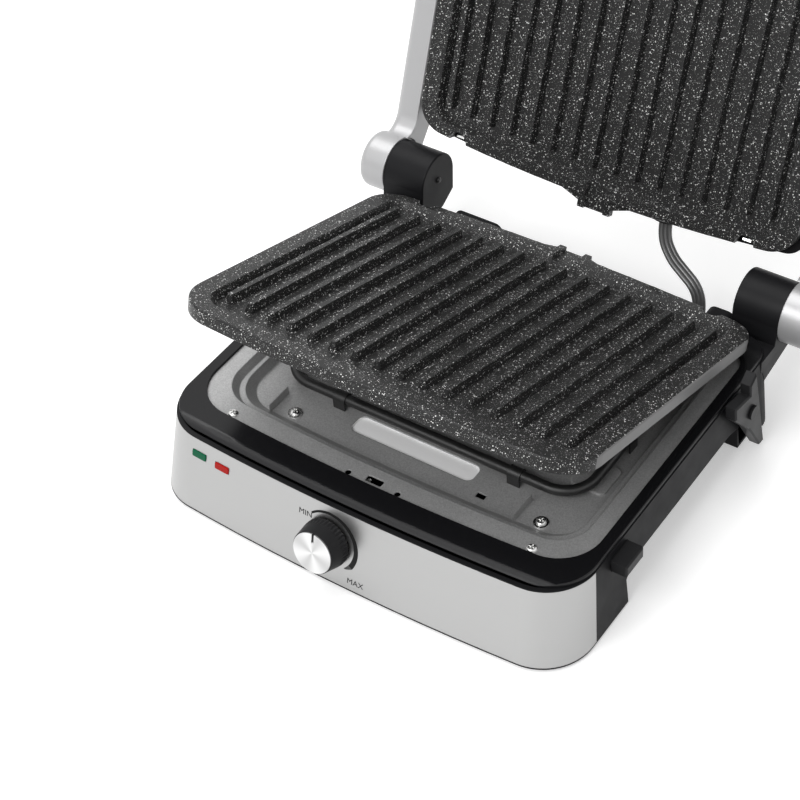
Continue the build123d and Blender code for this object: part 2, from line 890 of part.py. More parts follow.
# Release button and the bar it pushes under the flange
def make_release_button():
    y, z = button_centre
    wall_x = body_half_width + (body_top - z) * tan(radians(side_lean)) - housing_wall
    flange_outer = wall_x - button_flange_gap
    block = slab(
        (flange_outer - button_flange_sheet, button_out),
        (y - button_length / 2, y + button_length / 2),
        (z - button_height / 2, z + button_height / 2),
    )
    block = fillet(block.faces().sort_by(Axis.X)[-1].edges(), button_edge)
    return block + slab(
        (flange_outer - button_flange_sheet, flange_outer),
        (y - button_length / 2 - button_flange, y + button_length / 2 + button_flange),
        (z - button_height / 2 - button_flange, z + button_height / 2 + button_flange),
    )


def latch_tip(front):
    """Tongue of a latch, beside the plate's hook."""
    tip_right = -hook_half_width - latch_tip_gap
    return slab(
        (tip_right - latch_tip_width, tip_right),
        (front, slot_centre + hook_depth / 2),
        (latch_bottom, latch_top),
    )


def make_latch_bar():
    y, z = button_centre
    wall_x = body_half_width + (body_top - z) * tan(radians(side_lean)) - housing_wall
    bar_outer = wall_x - button_flange_gap - button_flange_sheet
    tip_left = -hook_half_width - latch_tip_gap - latch_tip_width
    front = latch_row - latch_width / 2
    back = latch_row + latch_width / 2
    turn = front_corner - housing_wall - latch_width
    side = bar_outer - latch_width
    plan = make_face(
        Polyline(
            (tip_left, front),
            (bar_outer - turn * 0.7, front),
            (bar_outer, back + turn * 0.45),
            (bar_outer, y + button_length / 2),
            (side, y + button_length / 2),
            (side, back + turn * 0.55),
            (side - turn * 0.55, back),
            (tip_left, back),
            close=True,
        )
    )
    bar = prism(plan, latch_bottom, latch_top) + latch_tip(back - 0.1)
    return bar + slab(
        (bar_outer - latch_sheet, bar_outer),
        (y - button_length / 2, y + button_length / 2),
        (z - button_height / 2, latch_top),
    )


def lid_latch_span():
    tip_right = -hook_half_width - latch_tip_gap
    return (tip_right - latch_tip_width, tip_right)


def make_lid_release_slide():
    """Slide on the lid's front that carries its own latch tongue."""
    low, high = lid_latch_span()
    middle = (low + high) / 2
    height = 2 * parting - (latch_bottom + latch_top) / 2
    thumb = slab(
        (middle - lid_button_size[0] / 2, middle + lid_button_size[0] / 2),
        (lid_front - lid_button_out, lid_front - lid_seam),
        (height - lid_button_size[1] / 2, height + lid_button_size[1] / 2),
    )
    thumb = fillet(thumb.faces().sort_by(Axis.Y)[0].edges(), button_edge)
    return thumb + mirror(latch_tip(lid_front - lid_seam), about=mirror_plane)


# Control: thermostat behind the front, knob and its bright cap
def make_thermostat():
    behind = -housing_wall
    body = on_front(
        knob_plane,
        Pos(0, 0, 0) * Box(*thermostat_size, align=(Align.CENTER, Align.CENTER, Align.MAX)),
        behind,
    )
    bush = on_front(
        knob_plane,
        Cylinder(bush_radius, housing_wall + knob_gap / 2, align=(Align.CENTER, Align.CENTER, Align.MIN)),
        behind,
    )
    bore = on_front(knob_plane, Cylinder(shaft_radius + shaft_fit, 4 * knob_height), 0)
    return body + bush - bore


def make_thermostat_shaft():
    length = knob_height * 0.6 + housing_wall + thermostat_size[2] * 0.7
    return on_front(
        knob_plane,
        Cylinder(shaft_radius, length, align=(Align.CENTER, Align.CENTER, Align.MAX)),
        knob_gap + knob_height * 0.6,
    )


def make_thermostat_knob():
    """Fluted skirt that tapers to the seat of the cap."""
    flute = 360 / knob_flutes
    radii = (knob_skirt_radius, knob_skirt_radius - knob_flute_depth)
    points = []
    for index in range(2 * knob_flutes):
        turn = radians(index * flute / 2)
        points.append((radii[index % 2] * cos(turn), radii[index % 2] * sin(turn)))
    skirt = extrude(make_face(Polyline(*points, close=True)), amount=knob_height - cap_sheet)
    cone = Cone(
        knob_skirt_radius + 0.6,
        knob_face_radius,
        knob_height - cap_sheet,
        align=(Align.CENTER, Align.CENTER, Align.MIN),
    )
    knob = skirt & cone
    knob -= Cylinder(shaft_radius, 2 * knob_height * 0.6)
    return on_front(knob_plane, knob, knob_gap)


def make_knob_cap():
    """Bright disc with a sunk line that points up the front."""
    cap = Cylinder(knob_face_radius - 0.6, cap_sheet, align=(Align.CENTER, Align.CENTER, Align.MIN))
    width, length, depth = pointer_size
    line = slab(
        (-width / 2, width / 2),
        (pointer_reach - length, pointer_reach),
        (cap_sheet - depth, 2 * cap_sheet),
    )
    return on_front(knob_plane, cap - line, knob_gap + knob_height - cap_sheet)


# Lamps
def make_lamp_lens(plane):
    depth = housing_wall + lamp_proud
    lens = Box(*lamp_size, depth, align=(Align.CENTER, Align.CENTER, Align.MIN))
    lens = fillet(lens.edges().filter_by(Axis.Z), 1.2)
    lens = fillet(lens.edges().group_by(Axis.Z)[-1], lamp_proud * 0.7)
    return on_front(plane, lens, -housing_wall)


def make_lamp_holders():
    holders = []
    for plane in lamp_planes:
        holder = Box(
            lamp_size[0] + 2 * lamp_holder_rim,
            lamp_size[1] + 2 * lamp_holder_rim,
            lamp_holder_depth,
            align=(Align.CENTER, Align.CENTER, Align.MAX),
        )
        holders.append(on_front(plane, holder, -housing_wall - lamp_seat))
    return holders


# Hinge towers on the rear wall, with their pins and end screws
def make_tower(side):
    knuckle = rod(knuckle_radius, (knuckle_inner, hinge_y, hinge_z), knuckle_outer)
    neck = side_profile(
        [
            (body_rear - rear_corner, tower_bottom),
            tower_slant,
            tower_corner,
            (hinge_y + knuckle_radius, hinge_z),
            (hinge_y - knuckle_radius, hinge_z),
            (body_rear + cover_gap, body_top),
            (body_rear - rear_corner, body_top),
        ],
        knuckle_inner,
        knuckle_outer,
    )
    tower = knuckle + (neck - body_block(body_bottom, body_top))
    end = tower.faces().sort_by(Axis.X)[0]
    tower = fillet([edge for edge in end.edges() if edge.center().Y > body_rear + 1], tower_edge)
    tower -= rod(hinge_pin_radius, (hinge_pin_inner, hinge_y, hinge_z), knuckle_outer + 1)
    tower -= rod(screw_shank, (knuckle_inner - 1, hinge_y, hinge_z), hinge_pin_inner)
    return tower if side > 0 else mirror(tower, about=Plane.YZ)


def make_hinge_pin(side):
    pin = rod(hinge_pin_radius, (hinge_pin_inner, hinge_y, hinge_z), cap_outer - cap_round)
    return pin if side > 0 else mirror(pin, about=Plane.YZ)


def make_knuckle_screws():
    head = rod(knuckle_screw_radius, (knuckle_inner - screw_head, hinge_y, hinge_z), knuckle_inner)
    head = chamfer(head.faces().sort_by(Axis.X)[0].edges(), screw_head / 2)
    right = head + rod(screw_shank, (knuckle_inner, hinge_y, hinge_z), hinge_pin_inner - 1)
    return [right, mirror(right, about=Plane.YZ)]


# Height lever with two steps that the right arm can rest on
def make_height_lever():
    step_y, step_z = lever_step
    points = [
        (lever_step_front, step_z + lever_step_fall),
        (step_y, step_z),
        (step_y - 0.6, step_z + lever_step_rise),
        lever_peak,
        (lever_tip[0] + 3.0, lever_tip[1]),
        (lever_tip[0] - 3.0, lever_tip[1]),
        lever_belly,
        (lever_step_front + 1.0, step_z - 6.4),
    ]
    lever = side_profile(points, lever_inner, lever_outer)
    lever = chamfer(lever.faces().sort_by(Axis.X)[-1].edges(), lever_edge)
    y, z = lever_pivot
    return lever - rod(lever_pin_radius + lever_fit, (lever_inner - 1, y, z), lever_outer + 1)


def make_lever_pin():
    y, z = lever_pivot
    wall_x = body_half_width + (body_top - z) * tan(radians(side_lean))
    pin = rod(lever_pin_radius, (wall_x - housing_wall - 2, y, z), lever_outer + 0.3)
    head = rod(lever_pin_radius + 2, (lever_outer + 0.3, y, z), lever_outer + 2)
    return pin + head


# Drip cup, open at the top, that slides into the rear
def make_drip_tray():
    bottom = cover_top + drip_gap
    cup = slab((-drip_half_width, drip_half_width), (drip_front, drip_rear), (bottom, bottom + drip_height))
    cup = fillet(cup.edges().filter_by(Axis.Z), drip_corner)
    hollow = slab(
        (-drip_half_width + drip_sheet, drip_half_width - drip_sheet),
        (drip_front + drip_sheet, drip_rear - drip_sheet),
        (bottom + drip_sheet, bottom + drip_height + 1),
    )
    return cup - fillet(hollow.edges().filter_by(Axis.Z), drip_corner - drip_sheet)


def make_terminal_block():
    x, y = terminal_place
    bottom = arch_height + cover_gap + cover_sheet
    width, depth, height = terminal_size
    return slab((x, x + width), (y, y + depth), (bottom, bottom + height))


# Lid arms, drawn closed: a hollow bar that sweeps up from the hinge cap to the handle
def make_arm(side):
    back = hinge_y - neck_length
    bar = make_face(
        Polyline(
            (handle_y, arm_low),
            (hinge_y, arm_low),
            (hinge_y, hinge_z + cap_radius - 1),
            (back, arm_top),
            (handle_y, arm_top),
            close=True,
        )
    )
    profile = bar + Pos(hinge_y, hinge_z) * Circle(cap_radius)
    inside = [v for v in profile.vertices() if abs(v.Y - arm_low) < 0.01 and v.X > back]
    profile = fillet(inside, neck_round)
    crest = [v for v in profile.vertices() if abs(v.Y - arm_top) < 0.01 and v.X > handle_y / 2]
    profile = fillet(crest, neck_top_round)
    arm = Pos(arm_inner, 0, 0) * extrude(Plane.YZ * profile, amount=arm_outer - arm_inner)
    arm = fillet(arm.faces().sort_by(Axis.X)[-1].edges(), arm_round)
    cap = rod(cap_radius, (cap_inner, hinge_y, hinge_z), cap_outer)
    arm += fillet(cap.faces().sort_by(Axis.X)[-1].edges(), cap_round)
    boss = rod(handle_boss, (arm_inner, handle_y, handle_z), arm_outer)
    arm += fillet(boss.faces().sort_by(Axis.X)[-1].edges(), handle_boss_round)
    arm -= rod(cap_radius + cap_clearance, (arm_inner - 1, hinge_y, hinge_z), cap_inner)
    boss_reach = handle_boss + arm_wall
    for rows in ((handle_y + boss_reach, pivot_y - boss_reach), (pivot_y + boss_reach, back - arm_wall)):
        arm -= slab((arm_inner - 1, arm_outer - arm_wall), rows, (arm_low + arm_wall, arm_top - arm_wall))
    arm -= rod(hinge_pin_radius + hinge_fit, (cap_inner - 1, hinge_y, hinge_z), cap_outer - cap_round + 0.5)
    arm -= rod(handle_radius, (arm_inner - 1, handle_y, handle_z), arm_outer - handle_depth)
    arm -= rod(pivot_radius, (arm_inner - 1, pivot_y, pivot_z), arm_inner + pivot_depth)
    return arm if side > 0 else mirror(arm, about=Plane.YZ)


def make_handle_tube():
    end = arm_outer - handle_depth
    tube = rod(handle_radius, (-end, handle_y, handle_z), end)
    return tube - rod(handle_radius - handle_sheet, (-end - 1, handle_y, handle_z), end + 1)


def make_handle_grip():
    grip = rod(grip_radius, (-grip_half_length, handle_y, handle_z), grip_half_length)
    grip = fillet(grip.faces().sort_by(Axis.X)[0].edges() + grip.faces().sort_by(Axis.X)[-1].edges(), 3.0)
    return grip - rod(handle_radius, (-grip_half_length - 1, handle_y, handle_z), grip_half_length + 1)


def make_lid_pivots():
    """Pins between the arms and the lid, with a head inside the lid's wall."""
    pin = rod(pivot_radius, (lid_half_width - lid_wall - lid_seam, pivot_y, pivot_z), arm_inner + pivot_depth)
    head_end = lid_half_width - lid_wall - lid_seam
    pin += rod(pivot_head_radius, (head_end - pivot_head, pivot_y, pivot_z), head_end)
    return [pin, mirror(pin, about=Plane.YZ)]


# Lid shell, drawn closed
def lid_plan(inset=0.0):
    return outline(
        lid_half_width - inset,
        lid_front + inset,
        lid_rear - inset,
        lid_front_corner - inset,
        lid_rear_corner - inset,
        bowed_rear=True,
    )


def make_lid_frame():
    face = 2 * parting - bezel_top
    ring = prism(lid_plan(), face, lid_frame_top)
    ring = fillet(ring.edges().group_by(Axis.Z)[0], 1.0)
    flange_back = 2 * parting - flange_top - flange_seat
    ring -= prism(lid_plan(lid_wall), flange_back, lid_frame_top + 1)
    ring -= prism(well_plan(), face - 1, flange_back + 1)
    ring -= mirror(plate_clip_slots(body_top - 1, bezel_top + 1), about=mirror_plane)
    for side in (-1, 1):
        start = lid_half_width - 2 * lid_wall
        bore = rod(pivot_radius + pivot_fit, (start, pivot_y, pivot_z), lid_half_width + 1)
        ring -= bore if side > 0 else mirror(bore, about=Plane.YZ)
    low, high = lid_latch_span()
    ring -= slab(
        (low - lid_button_travel - lid_seam, high + lid_seam),
        (lid_front - 1, lid_front + 2 * lid_wall),
        (2 * parting - latch_top - lid_seam, 2 * parting - latch_bottom + lid_seam),
    )
    ring -= Pos(lead_lid_x, lid_lead_wall, pivot_z) * Rot(90, 0, 0) * Cylinder(
        gland_radius + gland_fit, 4 * lid_wall
    )
    return ring


def cover_block(inset):
    """Outside of the cover, or its hollow: leaning walls and a bevelled top edge."""
    base = lid_frame_top + lid_seam
    top = base + lid_cover_rise - inset
    levels = (
        (base, inset),
        (top - lid_cover_edge, inset + lid_cover_draw),
        (top, inset + lid_cover_draw + lid_cover_edge),
    )
    return loft([Pos(0, 0, height) * lid_plan(draw) for height, draw in levels], ruled=True)


def make_lid_cover():
    cover = cover_block(0.0) - cover_block(lid_cover_sheet)
    ceiling = lid_frame_top + lid_seam + lid_cover_rise - lid_cover_sheet
    seat = 2 * parting - flange_bottom
    for x in (-flange_screw_x, flange_screw_x):
        for y in (flange_screw_front, flange_screw_rear):
            post = Pos(x, y, seat) * Cylinder(
                post_radius,
                ceiling + lid_cover_sheet / 2 - seat,
                align=(Align.CENTER, Align.CENTER, Align.MIN),
            )
            cover += post
            cover -= Pos(x, y, seat) * Cylinder(screw_shank, 24)
    return cover


# Lead between base and lid, with a gland at each end
def lead_points():
    """Route of the lead, straight through each gland."""
    hinge = Vector(0, hinge_y, hinge_z)
    lid_ends = []
    for wall_y in (lid_lead_wall, lid_lead_wall + lead_straight):
        closed = Vector(lead_lid_x, wall_y, pivot_z)
        lid_ends.append(hinge + (closed - hinge).rotate(hinge_axis, -lid_open))
    base_x, base_z = lead_base_place
    base_exit = (base_x, body_rear + lead_straight, base_z)
    base_end = (base_x, body_rear, base_z)
    return lid_ends + [Vector(*point) for point in (*lead_route, base_exit, base_end)]


def make_lid_lead():
    points = lead_points()
    radii = []
    for before, here, after in zip(points, points[1:], points[2:]):
        turn = (here - before).get_angle(after - here)
        shorter = min((here - before).length, (after - here).length)
        radii.append(0.45 * shorter / tan(radians(turn / 2)))
    path = FilletPolyline(*points, radius=radii)
    cores = Circle(lead_core)
    for side in (-1, 1):
        cores += Pos(side * lead_core_pitch, 0) * Circle(lead_core)
    section = Plane(origin=path @ 0, x_dir=(1, 0, 0), z_dir=path % 0) * cores
    return sweep(section, path=path)


def make_gland(x, wall_y, z):
    """Flanged bush through a rear wall, with the lead's bore."""
    bush = Cylinder(gland_radius, gland_depth, align=(Align.CENTER, Align.CENTER, Align.MAX))
    bush += Cylinder(gland_flange, gland_flange_sheet, align=(Align.CENTER, Align.CENTER, Align.MIN))
    bush -= Cylinder(lead_radius + lead_fit, 4 * gland_depth)
    return Plane(origin=(x, wall_y, z), z_dir=(0, 1, 0)).location * bush


def mirrored(shapes):
    if isinstance(shapes, list):
        return [mirror(shape, about=mirror_plane) for shape in shapes]
    return mirror(shapes, about=mirror_plane)


def turned(shapes, axis, angle):
    if isinstance(shapes, list):
        return [shape.rotate(axis, angle) for shape in shapes]
    return shapes.rotate(axis, angle)


tray = make_tray()
heater = make_heater()
heater_clips = make_heater_clips()
tray_screws = make_tray_screws()
plate_clips = make_plate_clips()
plate = make_plate()
flipped_plate = plate.rotate(Axis((0, 0, parting), (0, 1, 0)), 180)

base_nodes = {
    "base_housing": make_base_housing(),
    "base_cover": make_base_cover(),
    "rubber_feet": make_rubber_feet(),
    "front_fascia": make_front_fascia(),
    "top_bezel": make_top_bezel(),
    "lower_tray": tray,
    "lower_heating_element": heater,
    "lower_element_clips": heater_clips,
    "tray_screws": tray_screws,
    "tray_post_screws": make_post_screws(),
    "lower_plate_clips": plate_clips,
    "thermostat": make_thermostat(),
    "thermostat_shaft": make_thermostat_shaft(),
    "thermostat_knob": make_thermostat_knob(),
    "knob_cap": make_knob_cap(),
    "green_lamp_lens": make_lamp_lens(lamp_planes[0]),
    "red_lamp_lens": make_lamp_lens(lamp_planes[1]),
    "lamp_holders": make_lamp_holders(),
    "release_button": make_release_button(),
    "latch_bar": make_latch_bar(),
    "left_hinge_tower": make_tower(-1),
    "right_hinge_tower": make_tower(1),
    "left_hinge_pin": make_hinge_pin(-1),
    "right_hinge_pin": make_hinge_pin(1),
    "knuckle_screws": make_knuckle_screws(),
    "height_lever": make_height_lever(),
    "lever_pin": make_lever_pin(),
    "drip_tray": make_drip_tray(),
    "terminal_block": make_terminal_block(),
    "base_lead_gland": make_gland(lead_base_place[0], body_rear, lead_base_place[1]),
    "lid_lead": make_lid_lead(),
    "lower_plate": turned(plate, plate_axis, -plate_tilt),
}

closed_lid_nodes = {
    "left_arm": make_arm(-1),
    "right_arm": make_arm(1),
    "handle_tube": make_handle_tube(),
    "handle_grip": make_handle_grip(),
    "lid_pivots": make_lid_pivots(),
    "lid_frame": make_lid_frame(),
    "lid_cover": make_lid_cover(),
    "upper_tray": mirrored(tray),
    "upper_heating_element": mirrored(heater),
    "upper_element_clips": mirrored(heater_clips),
    "upper_tray_screws": mirrored(tray_screws),
    "upper_plate_clips": mirrored(plate_clips),
    "lid_release_slide": make_lid_release_slide(),
    "lid_lead_gland": make_gland(lead_lid_x, lid_lead_wall, pivot_z),
    "upper_plate": flipped_plate,
}

nodes = dict(base_nodes)
for name, shapes in closed_lid_nodes.items():
    nodes[name] = turned(shapes, hinge_axis, -lid_open)

for name, shapes in nodes.items():
    shape = Compound(children=shapes) if isinstance(shapes, list) else shapes
    export_step(shape, f"parts/{name}.step")
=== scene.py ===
import math

import bpy
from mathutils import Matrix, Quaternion, Vector


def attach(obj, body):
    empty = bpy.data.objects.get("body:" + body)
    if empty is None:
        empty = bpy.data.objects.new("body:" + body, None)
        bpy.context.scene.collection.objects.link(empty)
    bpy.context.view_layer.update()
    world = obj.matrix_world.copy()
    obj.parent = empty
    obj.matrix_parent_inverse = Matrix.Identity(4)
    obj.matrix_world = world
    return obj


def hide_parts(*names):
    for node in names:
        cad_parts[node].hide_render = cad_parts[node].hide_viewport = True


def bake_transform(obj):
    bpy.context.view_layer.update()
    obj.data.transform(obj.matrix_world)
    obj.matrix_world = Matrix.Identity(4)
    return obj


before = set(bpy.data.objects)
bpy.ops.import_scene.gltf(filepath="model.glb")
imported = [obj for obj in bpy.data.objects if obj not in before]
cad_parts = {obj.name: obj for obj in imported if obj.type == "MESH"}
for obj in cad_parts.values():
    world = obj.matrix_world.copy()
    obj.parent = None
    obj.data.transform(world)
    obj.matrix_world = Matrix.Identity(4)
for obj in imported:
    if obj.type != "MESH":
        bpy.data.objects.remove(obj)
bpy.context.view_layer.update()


# Base housing: the black body that everything is screwed to, moulded in heat-proof plastic. The mould
# was spark eroded, so the walls have a fine even grain and break the light softly. The steel pan that
# closes it from below is enamelled in the same black.
def new_finish(name, colour, roughness, metallic=0.0, specular=0.5):
    """A material with one shader, whose even values sit on the shader's own sockets."""
    material = bpy.data.materials.new(name)
    material.use_nodes = True
    tree = material.node_tree
    shader = tree.nodes["Principled BSDF"]
    shader.inputs["Base Color"].default_value = (*colour, 1)
    shader.inputs["Roughness"].default_value = roughness
    shader.inputs["Metallic"].default_value = metallic
    shader.inputs["Specular IOR Level"].default_value = specular
    return material, tree, shader


def add_node(tree, kind, **values):
    """A shader node with its inputs or settings given by name, spaces written as underscores."""
    node = tree.nodes.new(kind)
    for key, value in values.items():
        socket = key.replace("_", " ")
        if socket in node.inputs:
            node.inputs[socket].default_value = value
        else:
            setattr(node, key, value)
    return node


def noise_on(tree, scale, stretch=(1, 1, 1), detail=2.0):
    """Noise in the piece's own metres, stretched along its axes."""
    place = add_node(tree, "ShaderNodeTexCoord")
    mapping = add_node(tree, "ShaderNodeMapping", Scale=stretch)
    noise = add_node(tree, "ShaderNodeTexNoise", Scale=scale, Detail=detail)
    tree.links.new(place.outputs["Object"], mapping.inputs["Vector"])
    tree.links.new(mapping.outputs["Vector"], noise.inputs["Vector"])
    return noise.outputs["Fac"]


def spread(tree, value, low, high, start=0.3, end=0.7):
    """A value carried from the range start to end, by default that of noise, to low to high."""
    ramp = add_node(tree, "ShaderNodeMapRange", From_Min=start, From_Max=end, To_Min=low, To_Max=high)
    tree.links.new(value, ramp.inputs["Value"])
    return ramp.outputs["Result"]


def grain_and_edges(tree, shader, height, depth, edge):
    """Grain of a depth in metres on a surface whose edges are broken by a radius."""
    bevel = add_node(tree, "ShaderNodeBevel", samples=4, Radius=edge)
    bump = add_node(tree, "ShaderNodeBump", Strength=1.0, Distance=depth)
    tree.links.new(bevel.outputs["Normal"], bump.inputs["Normal"])
    tree.links.new(height, bump.inputs["Height"])
    tree.links.new(bump.outputs["Normal"], shader.inputs["Normal"])


def coat(material, *names):
    """Gives CAD nodes a finish."""
    for name in names:
        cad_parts[name].material_slots[0].material = material


def moulded_plastic(name, colour, roughness, grain_depth=0.000012):
    """Plastic or rubber with the grain of its mould and a gloss that varies a little."""
    material, tree, shader = new_finish(name, colour, roughness, specular=0.12)
    grain = noise_on(tree, scale=1600)
    wear = spread(tree, noise_on(tree, scale=60), low=roughness - 0.05, high=roughness + 0.05)
    tree.links.new(wear, shader.inputs["Roughness"])
    grain_and_edges(tree, shader, grain, depth=grain_depth, edge=0.0006)
    return material


housing_black = moulded_plastic("housing_black", (0.008, 0.008, 0.009), roughness=0.48)
coat(housing_black, "base_housing", "base_cover")


# Feet: four plugs that keep the grill from sliding, moulded in soft black rubber and pressed into
# the bottom pan. The rubber is dull and a little dusty.
foot_rubber = moulded_plastic("foot_rubber", (0.022, 0.022, 0.021), roughness=0.82, grain_depth=0.00003)
coat(foot_rubber, "rubber_feet")


# Front band: thin stainless sheet wrapped round the front of the housing and brushed along its length,
# so that the lines run level. The dial's scale and its two words are printed on it in black.
brush_stretch = (20, 20, 2600)
band_steel, tree, shader = new_finish("band_steel", (0.41, 0.41, 0.408), roughness=0.33, metallic=1.0)
brush = noise_on(tree, scale=2, stretch=brush_stretch, detail=3.0)
tree.links.new(spread(tree, brush, low=0.29, high=0.37), shader.inputs["Roughness"])
grain_and_edges(tree, shader, brush, depth=0.000003, edge=0.0003)
coat(band_steel, "front_fascia")


def grey(level):
    """A colour with no tint."""
    return (level, level, level)


print_black = moulded_plastic("print_black", grey(0.012), roughness=0.55, grain_depth=0.000004)
print_grey = moulded_plastic("print_grey", grey(0.09), roughness=0.55, grain_depth=0.000004)

band_lean = math.radians(14)
band_bow = 1.803
band_front = -0.140
band_top = 0.0572
print_rise = 0.00006
dial_centre = (-0.0121, 0.03108)


def on_band(across, up):
    """Point on the bowed and leaning band, from a place across and up its slope from the dial."""
    x = dial_centre[0] + across
    z = dial_centre[1] + up * math.cos(band_lean)
    sag = band_bow - math.sqrt(band_bow**2 - x**2)
    y = band_front - (band_top - z) * math.tan(band_lean) + sag
    return Vector((x, y - print_rise * math.cos(band_lean), z + print_rise * math.sin(band_lean)))


def print_on_base(name, points, faces, ink):
    """A printed mark that moves with the base."""
    mesh = bpy.data.meshes.new(name)
    mesh.from_pydata(points, [], faces)
    mesh.materials.append(ink)
    piece = bpy.data.objects.new(name, mesh)
    bpy.context.scene.collection.objects.link(piece)
    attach(piece, "base")


scale_inner = 0.0196
scale_thin = 0.0015
scale_thick = 0.0036
scale_tip = 0.0008
scale_steps = 40


def printed_arc(name, start, end, start_width, end_width, ink):
    """Part of the dial's scale, an arc whose width changes from its start to its end."""
    points = []
    for index in range(scale_steps + 1):
        share = index / scale_steps
        turn = math.radians(start + (end - start) * share)
        outer = scale_inner + start_width + (end_width - start_width) * share
        points.append(on_band(outer * math.cos(turn), outer * math.sin(turn)))
        points.append(on_band(scale_inner * math.cos(turn), scale_inner * math.sin(turn)))
    faces = [(2 * i, 2 * i + 1, 2 * i + 3, 2 * i + 2) for i in range(scale_steps)]
    print_on_base(name, points, faces, ink)


scale_start = 131
scale_shoulder = -34
scale_end = -48
printed_arc("dial_scale", scale_start, scale_shoulder, scale_thin, scale_thick, print_black)
printed_arc("dial_scale_end", scale_shoulder, scale_end, scale_thick, scale_tip, print_grey)

letter_size = 0.0058


def printed_word(name, word, across, up):
    """A word printed on the band, with its middle at a place across and up from the dial."""
    curve = bpy.data.curves.new(name, "FONT")
    curve.body = word
    curve.align_x = "CENTER"
    curve.align_y = "CENTER"
    text = bpy.data.objects.new(name + "_text", curve)
    bpy.context.scene.collection.objects.link(text)
    bpy.context.view_layer.update()
    flat = bpy.data.meshes.new_from_object(text.evaluated_get(bpy.context.evaluated_depsgraph_get()))
    bpy.data.objects.remove(text)
    points = [on_band(across + letter_size * v.co.x, up + letter_size * v.co.y) for v in flat.vertices]
    faces = [tuple(face.vertices) for face in flat.polygons]
    print_on_base(name, points, faces, print_black)


printed_word("dial_word_min", "MIN", across=-0.0181, up=0.0129)
printed_word("dial_word_max", "MAX", across=0.0221, up=-0.0227)


# Rim: a black moulding that is fixed over the housing and hides the edge of the pressed dish. Its flat
# top is polished, and its rolled outer shoulder is duller.
def object_axis(tree, axis):
    """The piece's own X, Y or Z in metres."""
    place = add_node(tree, "ShaderNodeTexCoord")
    parts = add_node(tree, "ShaderNodeSeparateXYZ")
    tree.links.new(place.outputs["Object"], parts.inputs["Vector"])
    return parts.outputs[axis]


shoulder_height = 0.0597
flat_height = 0.05985
shoulder_roughness = 0.38
flat_roughness = 0.16
rim_black, tree, shader = new_finish("rim_black", (0.008, 0.008, 0.009), flat_roughness, specular=0.28)
height = object_axis(tree, "Z")
sheen = spread(tree, height, shoulder_roughness, flat_roughness, start=shoulder_height, end=flat_height)
tree.links.new(sheen, shader.inputs["Roughness"])
grain_and_edges(tree, shader, noise_on(tree, scale=700), depth=0.000002, edge=0.0006)
coat(rim_black, "top_bezel")


# Pressed dishes: one under each plate, deep drawn from aluminised steel, to throw the heat back at the
# plate. The coating is a dull grey with a fine grain. The trough in front of the lower heater is painted
# near white and not metallic, a painted reflection that stands in for the light it catches.
def calculated(tree, operation, first, second=0.0):
    """Result of a math node on one or two sockets or numbers."""
    node = tree.nodes.new("ShaderNodeMath")
    node.operation = operation
    for socket, value in zip(node.inputs, (first, second)):
        if isinstance(value, (int, float)):
            socket.default_value = value
        else:
            tree.links.new(value, socket)
    return node.outputs["Value"]


def mixed(tree, factor, first, second):
    """Colour that goes from the first to the second, each a socket or a colour, as a factor rises."""
    mix = add_node(tree, "ShaderNodeMix", data_type="RGBA")
    tree.links.new(factor, mix.inputs["Factor"])
    for side, colour in (("A", first), ("B", second)):
        if isinstance(colour, tuple):
            mix.inputs[side].default_value = (*colour, 1)
        else:
            tree.links.new(colour, mix.inputs[side])
    return mix.outputs["Result"]


dish_dark = grey(0.31)
dish_light = grey(0.45)
dish_metallic = 0.35
# Painted reflection: the colour the trough is painted below trough_edge, near white in place of reflected
# light.
trough_painted_reflection = grey(0.95)
trough_edge = 0.0441
dish_steel, tree, shader = new_finish("dish_steel", dish_dark, roughness=0.46, metallic=dish_metallic)
mottle = noise_on(tree, scale=1300, detail=3.0)
coating = mixed(tree, spread(tree, mottle, low=0.0, high=1.0), dish_dark, dish_light)
# Zone of the painted reflection: below trough_edge the colour turns near white and the metal turns off.
painted_reflection_zone = calculated(tree, "LESS_THAN", object_axis(tree, "Z"), trough_edge)
tree.links.new(mixed(tree, painted_reflection_zone, coating, trough_painted_reflection), shader.inputs["Base Color"])
metal = spread(tree, painted_reflection_zone, low=dish_metallic, high=0.0, start=0.0, end=1.0)
tree.links.new(metal, shader.inputs["Metallic"])
tree.links.new(spread(tree, noise_on(tree, scale=40), low=0.40, high=0.52), shader.inputs["Roughness"])
grain_and_edges(tree, shader, mottle, depth=0.000012, edge=0.0012)
coat(dish_steel, "lower_tray", "upper_tray")


# Heating elements: steel-sheathed tubes bent into a loop, with straps that hold them off the dish.
# Both are darkened by heat.
heater_sheath, tree, shader = new_finish("heater_sheath", grey(0.05), roughness=0.4, metallic=0.8)
tree.links.new(spread(tree, noise_on(tree, scale=120), low=0.34, high=0.5), shader.inputs["Roughness"])
grain_and_edges(tree, shader, noise_on(tree, scale=900), depth=0.00001, edge=0.0003)
coat(heater_sheath, "lower_heating_element", "upper_heating_element")
coat(heater_sheath, "lower_element_clips", "upper_element_clips")


# Sprung tabs and latch bar: bent from bright spring steel. The tabs stand at the rear of each dish, where
# a plate hooks in, and the bar slides behind the release button.
bright_steel, tree, shader = new_finish("bright_steel", (0.78, 0.78, 0.77), roughness=0.22, metallic=1.0)
tree.links.new(spread(tree, noise_on(tree, scale=400), low=0.16, high=0.30), shader.inputs["Roughness"])
grain_and_edges(tree, shader, noise_on(tree, scale=800), depth=0.000003, edge=0.0002)
coat(bright_steel, "lower_plate_clips", "upper_plate_clips", "latch_bar")


